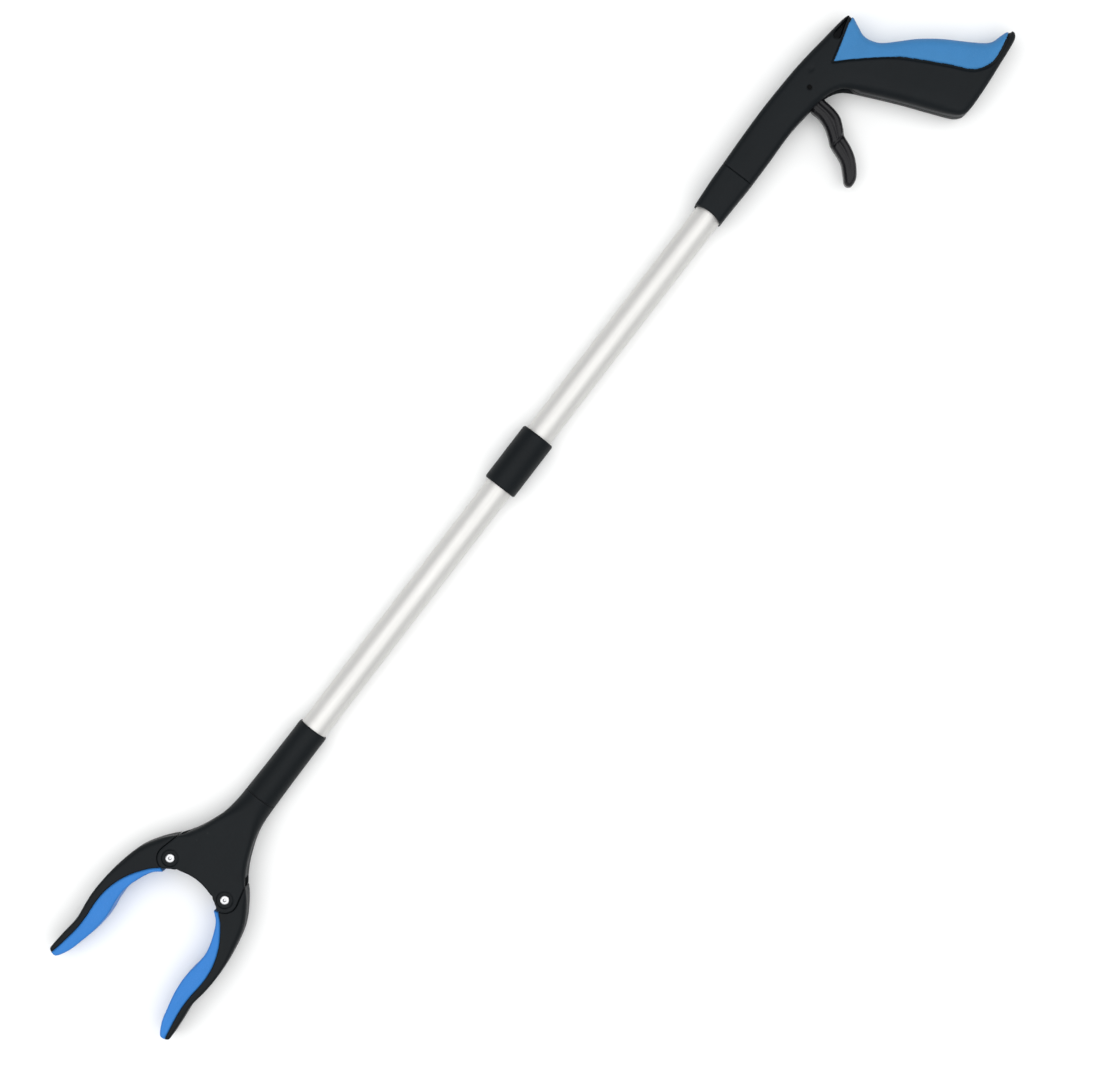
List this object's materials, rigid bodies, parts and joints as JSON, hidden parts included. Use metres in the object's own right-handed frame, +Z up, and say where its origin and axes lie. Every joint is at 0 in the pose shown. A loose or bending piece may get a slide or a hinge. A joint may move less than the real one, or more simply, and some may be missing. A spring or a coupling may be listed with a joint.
{
  "type": "reacher grabber",
  "caption": "Folding reacher grabber with a pistol handle, a trigger, a lock collar on a slim tube and two curved padded jaws.",
  "frame": {"origin": "centre of the whole tool's footprint, on the face it lies on", "axes": "+X along the tube from the handle to the jaws, +Y in the jaws' plane on the trigger's side, +Z up, square to the jaws' plane"},
  "size_m": [0.8762, 0.1462, 0.026],
  "materials": {
    "black_plastic": "fine grained moulded plastic, charcoal black",
    "trigger_plastic": "smooth moulded plastic, dark grey",
    "grip_rubber": "soft matt overmoulded rubber, mid blue",
    "pad_rubber": "soft matt rubber, mid blue",
    "satin_aluminium": "satin anodised, drawn tube",
    "plated_steel": "bright zinc plate",
    "steel_wire": "drawn wire",
    "inner_plastic": "plain moulded plastic, dark grey"
  },
  "bodies": {
    "handle": {"handle_shell_front": "black_plastic", "handle_shell_back": "black_plastic", "palm_grip": "grip_rubber", "nose_sleeve": "black_plastic", "trigger_pin": "plated_steel", "handle_screws": "plated_steel", "upper_tube": "satin_aluminium", "cable_guide_upper": "inner_plastic", "hinge_plug_upper": "inner_plastic", "hinge_rivets_upper": "plated_steel"},
    "trigger": {"trigger": "trigger_plastic"},
    "upper_cable": {"cable_upper": "steel_wire", "cable_barrel": "plated_steel"},
    "lock_collar": {"lock_collar": "black_plastic"},
    "fold_link": {"fold_link": "inner_plastic", "cable_link": "steel_wire"},
    "lower_section": {"lower_tube": "satin_aluminium", "hinge_plug_lower": "inner_plastic", "hinge_rivets_lower": "plated_steel", "cable_guide_lower": "inner_plastic", "head_socket": "black_plastic", "socket_screw": "plated_steel"},
    "head": {"yoke_shell_front": "black_plastic", "yoke_shell_back": "black_plastic", "yoke_screws": "plated_steel", "jaw_rivets": "plated_steel", "return_spring": "steel_wire"},
    "slider": {"pull_slider": "inner_plastic", "cable_lower": "steel_wire", "cable_stop": "plated_steel"},
    "jaw_left": {"jaw_left": "black_plastic", "jaw_pad_left": "pad_rubber"},
    "jaw_right": {"jaw_right": "black_plastic", "jaw_pad_right": "pad_rubber"}
  },
  "joints": [
    {"name": "trigger_pull", "type": "hinge", "parent": "handle", "child": "trigger", "pos_m": [-0.32509, -0.02101, 0.013], "axis": [0, 0, 1], "range_deg": [0, 38], "stiffness_Nm_per_rad": 0.4, "springref_deg": -17.19},
    {"name": "upper_cable_slide", "type": "slide", "parent": "handle", "child": "upper_cable", "axis": [-1, 0, 0], "range_m": [0, 0.00456]},
    {"name": "collar_slide", "type": "slide", "parent": "handle", "child": "lock_collar", "axis": [-1, 0, 0], "range_m": [0, 0.1781]},
    {"name": "fold_upper", "type": "hinge", "parent": "handle", "child": "fold_link", "pos_m": [-0.02469, -0.02302, 0.013], "axis": [0, -1, 0], "range_deg": [0, 87]},
    {"name": "fold_lower", "type": "hinge", "parent": "fold_link", "child": "lower_section", "pos_m": [0.00331, -0.02302, 0.013], "axis": [0, -1, 0], "range_deg": [0, 87]},
    {"name": "head_swivel", "type": "hinge", "parent": "lower_section", "child": "head", "pos_m": [0.27931, -0.02302, 0.013], "axis": [1, 0, 0], "range_deg": [-90, 90]},
    {"name": "slider_slide", "type": "slide", "parent": "head", "child": "slider", "axis": [-1, 0, 0], "range_m": [0, 0.00456], "deforming": ["return_spring"]},
    {"name": "jaw_left_hinge", "type": "hinge", "parent": "head", "child": "jaw_left", "pos_m": [0.33981, -0.00012, 0.013], "axis": [0, 0, -1], "range_deg": [0, 24.5]},
    {"name": "jaw_right_hinge", "type": "hinge", "parent": "head", "child": "jaw_right", "pos_m": [0.33981, -0.04591, 0.013], "axis": [0, 0, 1], "range_deg": [0, 24.5]}
  ],
  "couplings": [
    {"joint": "upper_cable_slide", "follows": "trigger_pull", "m_per_rad": 0.006872},
    {"joint": "slider_slide", "follows": "trigger_pull", "m_per_rad": 0.006872},
    {"joint": "jaw_left_hinge", "follows": "trigger_pull", "ratio": 0.64473},
    {"joint": "jaw_right_hinge", "follows": "trigger_pull", "ratio": 0.64473},
    {"joint": "fold_lower", "follows": "fold_upper", "ratio": 1},
    {"joint": "collar_slide", "follows": "fold_upper", "m_per_rad": 0.11723}
  ]
}
